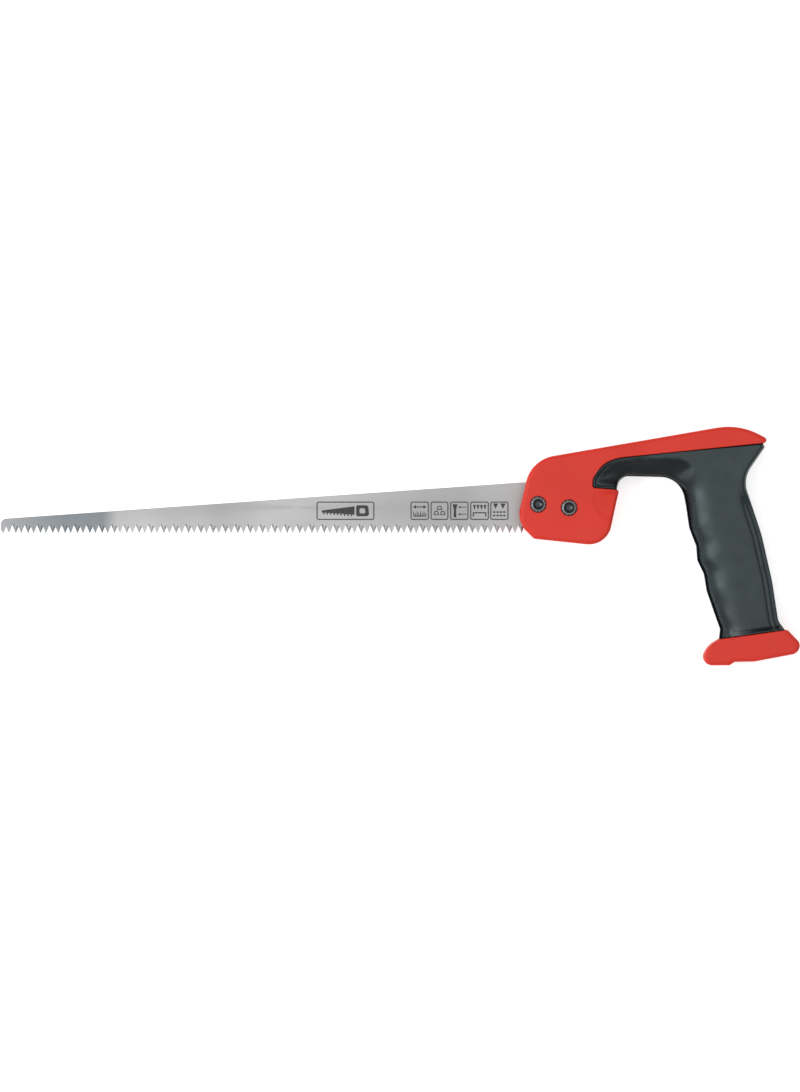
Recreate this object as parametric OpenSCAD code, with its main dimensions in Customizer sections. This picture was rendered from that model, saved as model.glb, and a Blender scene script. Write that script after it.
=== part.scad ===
// Drywall saw: a toothed steel blade clamped between two hard handle shells by two
// cap screws, with a soft over-moulded grip and a pressed-on butt cap.
// The saw lies flat on its side. +X runs from the toe of the blade to the butt,
// +Y from the tooth tips to the back of the blade and +Z up through the thickness.

/* [Blade] */
// Length of the blade from its heel to its toe
blade_len = 301; // [200:1:360]
// Thickness of the steel
blade_t = 1.2; // [0.8:0.1:1.6]
// Depth of the blade at the toe, measured from the tooth tips
toe_h = 8.5; // [7:0.5:12]
// Depth of the blade at the heel, measured from the tooth tips
heel_h = 29.6; // [28:0.2:30]
// Distance between two teeth that are ground on the same side
pair_pitch = 7.134; // [6:0.002:9]
// Place of the second tooth of a pair, as a share of the pair's pitch
second_tooth = 0.455; // [0.4:0.005:0.5]
// Depth of the gullet inside a pair
inner_gullet = 4.1; // [3:0.1:4.5]
// Depth of the gullet between two pairs
outer_gullet = 5.0; // [3:0.1:5]
// Radius of the toe's upper corner
toe_r = 2.5; // [1:0.5:4]

/* [Handle] */
// Thickness of the hard handle, over both shells
handle_t = 26; // [25:0.5:30]
// Thickness of the core that the soft grip is moulded around
core_t = 18.6; // [16:0.2:20]
// Thickness of the soft grip, over both sides
grip_t = 24.8; // [23:0.2:26]
// Radius that rounds the outer edges of the hard handle
edge_r = 2.2; // [1:0.1:3]
// Thickness of the walls of the hollow shells
wall = 2.5; // [2:0.1:3]
// Thickness of the ribs inside the shells
rib_t = 2; // [1.5:0.1:3]
// Depth of the finger relief in the side of the head
relief_depth = 0.8; // [0.2:0.1:1.2]

/* [Screws] */
// Nominal diameter of the clamp screws
screw_d = 5; // [4:0.5:5]
// Diameter of a screw's head
head_d = 8.5; // [8:0.1:8.6]
// Height of a screw's head
head_h = 5; // [4:0.1:5]
// Size of the hexagon socket, across its flats
socket_af = 4; // [3:0.5:4]
// Depth of the hexagon socket
socket_depth = 2.6; // [2:0.1:3]
// Depth of the counterbores that hold the screw heads
counterbore_depth = 5.9; // [5.8:0.1:7]
// Diameter of the counterbores
counterbore_d = 9.6; // [9.4:0.1:10.5]
// Outer diameter of the toothed lock washers
washer_d = 9.2; // [8.8:0.1:9.3]
// Thickness of the lock washers
washer_t = 0.5; // [0.4:0.1:0.8]
// Size of the nuts, across their flats
nut_af = 8; // [8:0.1:8.2]
// Height of the nuts
nut_h = 4; // [3:0.1:4.4]

/* [Hidden] */
$fn = 48;

// Angle that one straight piece of a rounded corner turns through
arc_step = 10;
// Fine gap between two pieces that touch but move apart
seat_gap = 0.02;
// A length that is longer than the handle is thick, for cuts that go right through
through = 60;

// Where the two screws stand, in the drawing plane of the handle
front_pos = [9.5, 16.9];
rear_pos = [27.3, 15.0];

// Clearances of the screw in the nut, the washer and the handle, on the radius
thread_gap = 0.05;
washer_gap = 0.15;
bore_gap = 0.2;
// Clearance of the nut in its pocket, across the flats
nut_gap = 0.1;
// How deep the nuts sit below the side of the handle
nut_recess = 1.4;

// Corners of the handle's outlines, as x, y and the radius that rounds the corner.
// x = 0 is where the blade leaves the handle, and y = 0 is the line of the tooth tips.
head_corners = [[5.7, 42.75, 19.2], [-2.75, 7, 14], [7.2, -3, 2.5],
    [49.05, -7.4, 13], [62.1, 52.4, 0]];
spine_corners = [[20, 45.3, 0], [125.4, 63.4, 38], [142.3, 54.6, 1.8], [137.2, 48.6, 0],
    [24, 36, 0]];
// The line where the soft grip meets the head and the spine
claw_corners = [[64, 24.7, 0], [41, 26.6, 1.6], [40.7, 31.6, 7], [47, 40.4, 15],
    [55, 43.75, 28], [140.4, 52.4, 0]];
// The free outline of the soft grip, from under the rear nose round to the head
grip_corners = [[140.1, 51.5, 0], [140.5, 50.1, 0.7], [127.8, 31.7, 15.5], [138.5, -0.5, 60],
    [144.7, -28, 60], [148.1, -50.4, 8], [151.9, -55.6, 0], [114.2, -60.75, 0],
    [114.85, -55.2, 4], [111.6, -46.2, 16], [107, -33, 10], [105.5, -23.4, 7],
    [101.6, -15.4, 6], [101.05, -7.2, 6], [97, 3.2, 9], [94.8, 18, 30], [91.8, 32.5, 14],
    [56.6, 33.4, 6.6], [55.3, 25.6, 0]];
// Places where the soft grip keeps its full thickness, as x, y, width and height:
// the claw on the head, the inner corner under the bar and the flare under the rear nose
flat_blocks = [[38, 24, 20, 24], [84, 19, 18, 20], [114, 30, 30, 26]];
// The core under the soft grip, from the head round through the grip
core_corners = [[36, 24, 0], [51.4, 28.4, 3], [54.2, 36.1, 6], [94.8, 35.3, 16],
    [99.6, 8, 30], [118.4, -50, 30], [117.5, -66, 2], [148, -62.6, 2], [144.2, -50, 12],
    [135, -1, 60], [123.8, 31, 20], [134.5, 51, 2], [128, 58, 0], [40, 44, 0]];
butt_corners = [[113.7, -60.82, 1], [107.4, -65.4, 7], [104.6, -71.2, 5],
    [107, -76.1, 4.5], [119.9, -75.95, 1], [137, -73.35, 30], [159.2, -69.1, 5.3],
    [161, -63.4, 4.2], [153.3, -55.4, 1.5], [151.9, -55.6, 0.2]];
// The step behind the toe of the butt
step_corners = [[119.5, -80, 0], [120.3, -75.7, 0.8], [122.9, -74, 1.5],
    [133.5, -73.95, 0], [133.5, -80, 0]];
// The part of the blade that the handle covers
tang_corners = [[1.5, 5, 0], [38, 6.5, 3], [41, 14, 4], [38.5, 24.5, 4],
    [14, 30.4, 6], [0, heel_h, 0]];
// Hollows inside the shells
head_pocket = [[13, 34, 2], [35, 31, 2], [35, 44.6, 2], [20, 42, 3]];
bar_pocket = [[60, 38.8, 1.5], [104, 39.5, 1.5], [104, 56.4, 1.5], [60, 49.2, 1.5]];
grip_pocket = [[101.6, 29, 4], [102.4, 8, 10], [121, -52, 2], [141.2, -52, 2],
    [132, -1, 40], [120.6, 29, 6]];
// Places of the pins that locate one shell on the other
pin_places = [[46.5, 14], [50, 44], [118, 45], [131, -58.5]];
pin_d = 4;
pin_h = 3;
pin_gap = 0.1;

// Sizes that follow from the ones above
half_t = handle_t / 2;
core_half = core_t / 2;
pocket_depth = core_half - wall;
head_seat = half_t - counterbore_depth;
head_base = head_seat + washer_t + 2 * seat_gap;
nut_top = -half_t + nut_h + nut_recess;
screw_tip = nut_top - nut_h - 0.3;
butt_points = rounded(butt_corners);
spine_points = rounded(spine_corners);
x_max = max([for (p = butt_points) p[0]]);
y_min = min([for (p = butt_points) p[1]]);
y_max = max([for (p = spine_points) p[1]]);
origin_shift = [(blade_len - x_max) / 2, -(y_min + y_max) / 2, half_t];

function unit(v) = v / norm(v);

function turned(v, a) = [v[0] * cos(a) - v[1] * sin(a), v[0] * sin(a) + v[1] * cos(a)];

// The points of one corner: a single point, or an arc that touches both of its sides
function corner_arc(before, at, after, r) =
    r == 0 ? [at] :
    let (u = unit(before - at),
         v = unit(after - at),
         half = acos(u * v) / 2,
         centre = at + unit(u + v) * r / sin(half),
         start = at + u * r / tan(half) - centre,
         turn = (u[0] * v[1] - u[1] * v[0] > 0 ? -1 : 1) * (180 - 2 * half),
         steps = ceil(abs(turn) / arc_step))
    [for (k = [0 : steps]) centre + turned(start, turn * k / steps)];

function xy(c) = [c[0], c[1]];

// A closed outline from corners with radii
function rounded(corners) =
    let (n = len(corners))
    [for (i = [0 : n - 1])
        each corner_arc(xy(corners[(i + n - 1) % n]), xy(corners[i]),
            xy(corners[(i + 1) % n]), corners[i][2])];

// An open line from corners with radii; its two ends stay sharp
function rounded_line(corners) =
    let (n = len(corners))
    [for (i = [0 : n - 1])
        each corner_arc(xy(corners[max(i - 1, 0)]), xy(corners[i]),
            xy(corners[min(i + 1, n - 1)]), i == 0 || i == n - 1 ? 0 : corners[i][2])];

// Moves a piece from the drawing plane of the handle to the saw's own frame
module placed() {
    translate(origin_shift) children();
}

// A rounded slab over a convex outline, from the parting plane up to one side
module soft_slab(points) {
    hull() {
        linear_extrude(half_t - edge_r) polygon(points);
        for (a = [30, 60, 90])
            translate([0, 0, half_t - edge_r + edge_r * sin(a) - 0.01])
                linear_extrude(0.01) offset(delta = -edge_r * (1 - cos(a))) polygon(points);
    }
}

// The space that the soft grip takes away from the head and the spine
module claw_cut() {
    linear_extrude(through, center = true)
        polygon(concat(rounded_line(claw_corners), [[150, 45], [150, 15], [64, 15]]));
}

module core_block(z0, z1) {
    translate([0, 0, z0]) linear_extrude(z1 - z0) polygon(rounded(core_corners));
}

// One half of the hard handle without its bores, on the +Z side of the parting plane
module half_body() {
    difference() {
        union() {
            soft_slab(rounded(head_corners));
            soft_slab(spine_points);
        }
        claw_cut();
        finger_relief();
    }
    core_block(0, core_half);
}

// A shallow dish behind the screws where the finger rests on the head
module finger_relief() {
    r = 70;
    translate([56, 15, half_t + r - relief_depth]) sphere(r, $fn = 90);
}

// Hollows in a half, cut into cells by ribs
module cells(corners, from, to, count, along_x) {
    pitch = (to - from) / count;
    for (i = [0 : count - 1])
        translate([0, 0, -1]) linear_extrude(pocket_depth + 1) intersection() {
            polygon(rounded(corners));
            if (along_x)
                translate([from + i * pitch + rib_t / 2, -100])
                    square([pitch - rib_t, 200]);
            else
                translate([50, from + i * pitch + rib_t / 2])
                    square([150, pitch - rib_t]);
        }
}

module half_hollows() {
    cells(bar_pocket, 59, 105, 3, true);
    cells(grip_pocket, -53, 30, 4, false);
    cells(head_pocket, 12, 36, 1, true);
}

// The bed that the tang lies in, half of the blade's thickness deep
module blade_bed() {
    translate([0, 0, -1]) linear_extrude(1 + blade_t / 2)
        polygon(concat(rounded_line(tang_corners), [[-10, heel_h], [-10, -6], [1.5, -6]]));
}

module screw_bore(at) {
    translate([at[0], at[1], -through / 2]) cylinder(h = through, d = screw_d + 2 * bore_gap);
}

module upper_shell() {
    color("#d9423a") placed() {
        difference() {
            half_body();
            half_hollows();
            blade_bed();
            for (at = [front_pos, rear_pos]) {
                screw_bore(at);
                translate([at[0], at[1], head_seat])
                    cylinder(h = counterbore_depth + 1, d = counterbore_d);
            }
            for (at = pin_places)
                translate([at[0], at[1], -1])
                    cylinder(h = pin_h + 1 + 2 * pin_gap, d = pin_d + 2 * pin_gap);
        }
    }
}

module lower_shell() {
    color("#cf3d35") placed() {
        difference() {
            mirror([0, 0, 1]) difference() {
                half_body();
                half_hollows();
                blade_bed();
            }
            for (at = [front_pos, rear_pos]) {
                screw_bore(at);
                translate([at[0], at[1], nut_top - through])
                    cylinder(h = through, d = (nut_af + nut_gap) / cos(30), $fn = 6);
            }
        }
        for (at = pin_places)
            translate([at[0], at[1], -pin_h]) cylinder(h = 2 * pin_h, d = pin_d);
    }
}

// A bar with rounded long edges: its section is w by h, lying along its local Z
module round_bar(w, h, r, length) {
    linear_extrude(length, center = true) {
        square([w - 2 * r, h], center = true);
        square([w, h - 2 * r], center = true);
        for (sx = [-1, 1], sy = [-1, 1])
            translate([sx * (w / 2 - r), sy * (h / 2 - r)]) circle(r);
    }
}

// The soft grip before its core is taken out: the outline rounded by two crossing bars
module grip_body() {
    intersection() {
        linear_extrude(through, center = true)
            polygon(concat(rounded_line(claw_corners_at_head()), rounded_line(grip_corners)));
        union() {
            translate([118, 0, 0]) rotate([90, 0, 14.2]) round_bar(40.6, grip_t, 11, 150);
            translate([95, 58.7, 0]) rotate([90, 0, 96.2]) round_bar(48, grip_t, 8, 130);
            for (b = flat_blocks)
                translate([b[0], b[1], -grip_t / 2]) cube([b[2], b[3], grip_t]);
        }
    }
}

// The claw line, ended where the grip's free outline meets the head
function claw_corners_at_head() =
    concat([[55.3, 25.42, 0]], [for (i = [1 : len(claw_corners) - 1]) claw_corners[i]]);

module grip_overmould() {
    color("#3c4a4c") placed() {
        difference() {
            grip_body();
            core_block(-core_half, core_half);
        }
    }
}

module butt_cap() {
    color("#d03a32") placed() {
        difference() {
            union() {
                soft_slab(butt_points);
                mirror([0, 0, 1]) soft_slab(butt_points);
            }
            core_block(-core_half, core_half);
            linear_extrude(through, center = true) polygon(rounded(step_corners));
        }
    }
}

// Points of the toothed edge, from the heel to the toe
function tooth_points() =
    let (pairs = floor((blade_len - 0.3) / pair_pitch))
    [for (k = [0 : pairs]) let (tip = 0.15 - k * pair_pitch)
        each [[tip, 0],
              if (k < pairs) [tip - pair_pitch * (1 - second_tooth) / 2, outer_gullet],
              if (k < pairs) [tip - pair_pitch * (1 - second_tooth), 0],
              if (k < pairs) [tip - pair_pitch * (1 - second_tooth / 2), inner_gullet]]];

module blade() {
    toe = concat([[-blade_len, 0.8]],
        corner_arc([-blade_len, 0], [-blade_len, toe_h], [0, heel_h], toe_r));
    tang = rounded_line(tang_corners);
    color("#a9abad") placed()
        difference() {
            translate([0, 0, -blade_t / 2]) linear_extrude(blade_t)
                polygon(concat(tooth_points(), toe, [for (i = [len(tang) - 1 : -1 : 0]) tang[i]]));
            for (at = [front_pos, rear_pos]) screw_bore(at);
        }
}

module cap_screw(at) {
    chamfer = 0.4;
    color("#202426") placed() translate([at[0], at[1], 0])
        difference() {
            union() {
                translate([0, 0, head_base]) cylinder(h = head_h - chamfer, d = head_d);
                translate([0, 0, head_base + head_h - chamfer])
                    cylinder(h = chamfer, d1 = head_d, d2 = head_d - 2 * chamfer);
                translate([0, 0, screw_tip + chamfer])
                    cylinder(h = head_base - screw_tip - chamfer, d = screw_d - 2 * thread_gap);
                translate([0, 0, screw_tip])
                    cylinder(h = chamfer, d1 = screw_d - 4 * chamfer, d2 = screw_d - 2 * thread_gap);
            }
            translate([0, 0, head_base + head_h - socket_depth])
                cylinder(h = 3, d = socket_af / cos(30), $fn = 6);
        }
}

module lock_washer(at) {
    teeth = 12;
    ring_d = 7.6;
    color("#8f9497") placed() translate([at[0], at[1], head_seat + seat_gap])
        difference() {
            cylinder(h = washer_t, d = washer_d);
            translate([0, 0, -1]) cylinder(h = washer_t + 2, d = screw_d + 2 * washer_gap);
            for (i = [0 : teeth - 1])
                rotate(i * 360 / teeth) translate([ring_d / 2, -0.35, -1])
                    cube([3, 0.7, washer_t + 2]);
        }
}

module hex_nut(at) {
    color("#9a9ea1") placed() translate([at[0], at[1], nut_top - nut_h])
        difference() {
            cylinder(h = nut_h, d = nut_af / cos(30), $fn = 6);
            translate([0, 0, -1]) cylinder(h = nut_h + 2, d = screw_d);
        }
}

module front_screw() { cap_screw(front_pos); }
module rear_screw() { cap_screw(rear_pos); }
module front_washer() { lock_washer(front_pos); }
module rear_washer() { lock_washer(rear_pos); }
module front_nut() { hex_nut(front_pos); }
module rear_nut() { hex_nut(rear_pos); }

blade();
upper_shell();
lower_shell();
grip_overmould();
butt_cap();
front_screw();
rear_screw();
front_washer();
rear_washer();
front_nut();
rear_nut();
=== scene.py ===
import math

import bpy
import numpy as np
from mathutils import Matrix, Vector
from mathutils.geometry import delaunay_2d_cdt


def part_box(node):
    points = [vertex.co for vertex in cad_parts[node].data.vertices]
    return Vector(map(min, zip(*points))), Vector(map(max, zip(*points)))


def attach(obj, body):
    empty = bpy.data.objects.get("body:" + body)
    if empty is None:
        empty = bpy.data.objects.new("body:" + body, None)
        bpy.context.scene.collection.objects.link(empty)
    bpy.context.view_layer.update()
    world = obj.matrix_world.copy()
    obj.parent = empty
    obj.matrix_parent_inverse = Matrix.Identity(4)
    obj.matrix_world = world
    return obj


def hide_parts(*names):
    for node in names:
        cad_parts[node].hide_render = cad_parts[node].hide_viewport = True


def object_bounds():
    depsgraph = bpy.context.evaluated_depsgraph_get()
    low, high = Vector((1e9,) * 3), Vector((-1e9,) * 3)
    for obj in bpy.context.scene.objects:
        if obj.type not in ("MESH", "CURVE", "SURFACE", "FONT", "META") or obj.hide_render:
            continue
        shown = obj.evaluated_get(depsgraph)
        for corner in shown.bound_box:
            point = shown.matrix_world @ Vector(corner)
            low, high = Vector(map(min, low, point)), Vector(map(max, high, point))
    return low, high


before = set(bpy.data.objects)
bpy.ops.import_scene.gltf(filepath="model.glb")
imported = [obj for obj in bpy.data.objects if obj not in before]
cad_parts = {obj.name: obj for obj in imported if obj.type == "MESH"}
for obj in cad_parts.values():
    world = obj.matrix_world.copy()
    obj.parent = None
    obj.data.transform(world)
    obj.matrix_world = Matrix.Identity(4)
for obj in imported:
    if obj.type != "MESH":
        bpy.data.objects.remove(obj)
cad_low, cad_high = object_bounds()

# Outlines are in millimetres in the saw's drawing plane: x = 0 where the blade leaves the handle,
# y = 0 at the tooth tips and z = 0 in the middle of the blade. make() turns them into metres in
# the row frame.
MM = 0.001
FRONT_SCREW = (9.5, 16.9)
REAR_SCREW = (27.3, 15.0)


def node_mm(node):
    """Lowest and highest z of a CAD node, in millimetres from the middle of the blade."""
    low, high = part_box(node)
    return (low.z - MIDDLE_Z) / MM, (high.z - MIDDLE_Z) / MM


MIDDLE_Z = (cad_low.z + cad_high.z) / 2
nut_low, nut_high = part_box("front_nut")
ORIGIN = Vector(((nut_low.x + nut_high.x) / 2 - FRONT_SCREW[0] * MM,
                 (nut_low.y + nut_high.y) / 2 - FRONT_SCREW[1] * MM, MIDDLE_Z))
HALF = node_mm("upper_shell")[1]
GRIP_HALF = node_mm("grip_overmould")[1]
BLADE_HALF = node_mm("blade")[1]


# ---------------- outlines

def unit(vector):
    return vector / np.linalg.norm(vector)


def corner_arc(before, at, after, radius, step=6.0):
    """Points of one corner: the corner itself, or an arc that touches both of its sides."""
    if radius == 0:
        return [at]
    u, v = unit(before - at), unit(after - at)
    half = math.acos(float(np.clip(u @ v, -1, 1))) / 2
    centre = at + unit(u + v) * radius / math.sin(half)
    start = at + u * radius / math.tan(half) - centre
    side = -1 if u[0] * v[1] - u[1] * v[0] > 0 else 1
    sweep = side * (math.pi - 2 * half)
    count = max(2, math.ceil(abs(math.degrees(sweep)) / step))
    points = []
    for k in range(count + 1):
        a = sweep * k / count
        turn = np.array([[math.cos(a), -math.sin(a)], [math.sin(a), math.cos(a)]])
        points.append(centre + turn @ start)
    return points


def rounded(corners, closed=True):
    """An outline from corners given as (x, y, radius). An open one keeps its ends sharp."""
    at = [np.array(c[:2], float) for c in corners]
    n = len(at)
    points = []
    for i, corner in enumerate(corners):
        if closed or 0 < i < n - 1:
            points += corner_arc(at[i - 1], at[i], at[(i + 1) % n], corner[2])
        else:
            points.append(at[i])
    return np.array(points)


def resampled(line, spacing, closed=True):
    """The same line with extra points, so that no stretch is longer than spacing."""
    ends = np.roll(line, -1, axis=0) if closed else line[1:]
    points = []
    for a, b in zip(line, ends):
        count = max(1, math.ceil(np.linalg.norm(b - a) / spacing))
        points += [a + (b - a) * k / count for k in range(count)]
    if not closed:
        points.append(line[-1])
    return np.array(points)


def distance_to(points, line):
    """Distance from each point to an open line."""
    a, b = line[:-1], line[1:]
    along = b - a
    square = np.maximum((along ** 2).sum(axis=1), 1e-12)
    nearest = np.empty(len(points))
    for first in range(0, len(points), 2000):
        p = points[first:first + 2000]
        t = ((p[:, None] - a) * along).sum(axis=2) / square
        gap = p[:, None] - (a + np.clip(t, 0, 1)[:, :, None] * along)
        nearest[first:first + 2000] = np.sqrt((gap ** 2).sum(axis=2).min(axis=1))
    return nearest


def looped(outline):
    return np.vstack([outline, outline[:1]])


def inside(points, outline):
    """Which points lie inside an outline."""
    x, y = points[:, 0], points[:, 1]
    hit = np.zeros(len(points), bool)
    for (x1, y1), (x2, y2) in zip(outline, np.roll(outline, -1, axis=0)):
        if y1 != y2:
            crosses = (y1 > y) != (y2 > y)
            hit ^= crosses & (x < (x2 - x1) * (y - y1) / (y2 - y1) + x1)
    return hit


def inward(outline):
    """Inward step at each point of a counterclockwise outline that keeps an offset parallel."""
    def left(edge):
        edge = edge / np.linalg.norm(edge, axis=1, keepdims=True)
        return np.stack([-edge[:, 1], edge[:, 0]], axis=1)

    before = left(outline - np.roll(outline, 1, axis=0))
    after = left(np.roll(outline, -1, axis=0) - outline)
    middle = before + after
    middle /= np.linalg.norm(middle, axis=1, keepdims=True)
    return middle / np.maximum((middle * after).sum(axis=1), 0.6)[:, None]


def smooth(value, start, end):
    """0 where value is at start, 1 where it is at end, with an even turn between them."""
    t = np.clip((np.asarray(value, float) - start) / (end - start), 0, 1)
    return t * t * (3 - 2 * t)


def quarter(distance, radius, height):
    """How far a rounded edge has dropped at a distance inside it."""
    u = 1 - np.clip(distance / radius, 0, 1)
    return height * (1 - np.sqrt(np.maximum(1 - u * u, 0)))


def blended(*drops, power=3):
    """The largest of several drops, with their meeting lines rounded off."""
    return sum(np.maximum(d, 0) ** power for d in drops) ** (1 / power)


# ---------------- meshes

EDGE_DEPTHS = (0.03, 0.12, 0.28, 0.5, 0.8, 1.15, 1.6, 2.2, 3.0)
SEAM = 0.16
TONGUE_Z = 5.0


def cover(outline, depths, spacing):
    """Points and triangles that cover an outline: the outline, rings inside it at some depths,
    and an even grid in the middle."""
    line = looped(outline)
    step = inward(outline)
    layers = [outline]
    for depth in depths:
        ring = outline + step * depth
        ring = ring[distance_to(ring, line) > depth * 0.985]
        ring = ring[inside(ring, outline)]
        kept = [ring[0]]
        for point in ring[1:]:
            if np.linalg.norm(point - kept[-1]) > 0.45 * spacing:
                kept.append(point)
        layers.append(np.array(kept))
    low, high = outline.min(axis=0), outline.max(axis=0)
    rows = np.arange(low[1], high[1], spacing * math.sqrt(3) / 2)
    grid = [(x, y) for i, y in enumerate(rows)
            for x in np.arange(low[0] + (i % 2) * spacing / 2, high[0], spacing)]
    grid = np.array(grid)
    grid = grid[inside(grid, outline)]
    layers.append(grid[distance_to(grid, line) > depths[-1] + 0.55 * spacing])
    points = np.vstack(layers)
    result = delaunay_2d_cdt([Vector(p) for p in points], [], [list(range(len(outline)))], 1, 1e-7)
    source = [ids[0] for ids in result[3]]
    faces = [[source[i] for i in face] for face in result[2]]
    return points, faces


def link(name, data):
    obj = bpy.data.objects.new(name, data)
    bpy.context.scene.collection.objects.link(obj)
    return obj


def make(name, vertices, faces, material, body, nodes=(), sharp=35.0):
    """A mesh object from points in millimetres, riding on a CAD body."""
    mesh = bpy.data.meshes.new(name)
    mesh.from_pydata([ORIGIN + Vector(v) * MM for v in vertices], [], [list(f) for f in faces])
    mesh.validate()
    obj = link(name, mesh)
    mesh.materials.append(material)
    mesh.shade_smooth()
    mesh.set_sharp_from_angle(angle=math.radians(sharp))
    if body:
        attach(obj, body)
    if nodes:
        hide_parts(*nodes)
    return obj


def strip(low, high):
    """Quads that join two closed loops of vertex numbers, facing out of a counterclockwise loop."""
    n = len(low)
    return [(low[i], low[(i + 1) % n], high[(i + 1) % n], high[i]) for i in range(n)]


def add_loop(vertices, outline, z):
    first = len(vertices)
    vertices += [(p[0], p[1], z) for p in outline]
    return list(range(first, first + len(outline)))


def two_sided(outline, points, faces, height, tongue=0.0):
    """A closed solid with the same sculpted surface on both sides and a fine seam between them.
    tongue is how far each point of its wall stands out, in a band round the middle."""
    n = len(points)
    rim = list(range(len(outline)))
    vertices = [(p[0], p[1], z) for p, z in zip(points, height)]
    vertices += [(p[0], p[1], -z) for p, z in zip(points, height)]
    everything = [list(f) for f in faces] + [[i + n for i in reversed(f)] for f in faces]
    above = rim
    out = inward(outline) * np.reshape(-tongue, (-1, 1))
    for z, moved_by in ((TONGUE_Z + 0.3, 0 * out), (TONGUE_Z, out), (SEAM, out),
                        (0.0, out + inward(outline) * 0.6 * SEAM), (-SEAM, out), (-TONGUE_Z, out),
                        (-TONGUE_Z - 0.3, 0 * out)):
        below = add_loop(vertices, outline + moved_by, z)
        everything += strip(below, above)
        above = below
    everything += strip([i + n for i in rim], above)
    return vertices, everything


def one_sided(outline, points, faces, height, chamfer, side):
    """A closed half with a sculpted outer surface and a flat mating face with a fine chamfer."""
    rim = list(range(len(outline)))
    vertices = [(p[0], p[1], z) for p, z in zip(points, height)]
    everything = [list(f) for f in faces]
    wall = add_loop(vertices, outline, chamfer)
    mate = add_loop(vertices, outline + inward(outline) * 0.8 * chamfer, 0.02)
    everything += strip(wall, rim) + strip(mate, wall) + [mate[::-1]]
    if side < 0:
        vertices = [(x, y, -z) for x, y, z in vertices]
        everything = [list(f)[::-1] for f in everything]
    return vertices, everything


def relaxed(height, faces, fixed, rounds):
    """Heights smoothed over their neighbours, apart from the first few points."""
    a = np.array([(f[i], f[(i + 1) % 3]) for f in faces for i in range(3)])
    pairs = np.vstack([a, a[:, ::-1]])
    count = np.maximum(np.bincount(pairs[:, 0], minlength=len(height)), 1)
    for _ in range(rounds):
        total = np.bincount(pairs[:, 0], weights=height[pairs[:, 1]], minlength=len(height))
        height = np.where(np.arange(len(height)) < fixed, height, 0.5 * height + 0.5 * total / count)
    return height


def turned_solid(profile, segments, radius_at=None):
    """A closed solid turned from (radius, z) pairs, listed from the bottom's centre to the top's.
    radius_at(row, angle) may change a radius."""
    vertices = [(0, 0, profile[0][1])]
    loops = []
    for row, (radius, z) in enumerate(profile[1:-1]):
        loop = []
        for k in range(segments):
            a = 2 * math.pi * k / segments
            r = radius_at(row, a, radius) if radius_at else radius
            loop.append(len(vertices))
            vertices.append((r * math.cos(a), r * math.sin(a), z))
        loops.append(loop)
    vertices.append((0, 0, profile[-1][1]))
    faces = [(0, b, a) for a, b in zip(loops[0], loops[0][1:] + loops[0][:1])]
    for low, high in zip(loops, loops[1:]):
        faces += strip(low, high)
    last = len(vertices) - 1
    faces += [(last, a, b) for a, b in zip(loops[-1], loops[-1][1:] + loops[-1][:1])]
    return vertices, faces


def circle(radius, count):
    angles = [2 * math.pi * k / count for k in range(count)]
    return [(radius * math.cos(a), radius * math.sin(a)) for a in angles]


def moved(vertices, at):
    return [(x + at[0], y + at[1], z) for x, y, z in vertices]


def cut(obj, name, vertices, faces):
    """Cuts a closed shape out of an object."""
    tool = make(name, vertices, faces, obj.data.materials[0], None)
    modifier = obj.modifiers.new("cut", "BOOLEAN")
    modifier.operation = "DIFFERENCE"
    modifier.solver = "EXACT"
    modifier.object = tool
    bpy.context.view_layer.update()
    result = bpy.data.meshes.new_from_object(obj.evaluated_get(
        bpy.context.evaluated_depsgraph_get()))
    obj.modifiers.clear()
    obj.data = result
    bpy.data.objects.remove(tool)


# ---------------- materials

def linear(code):
    """A linear colour from its usual hexadecimal code."""
    parts = [int(code[i:i + 2], 16) / 255 for i in (0, 2, 4)]
    return tuple(c / 12.92 if c <= 0.04045 else ((c + 0.055) / 1.055) ** 2.4 for c in parts) + (1,)


def shade(base, factor, lift=0.0):
    """A lighter or darker colour of the same hue."""
    return tuple(min(1, c * factor + lift) for c in base[:3]) + (1,)


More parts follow.
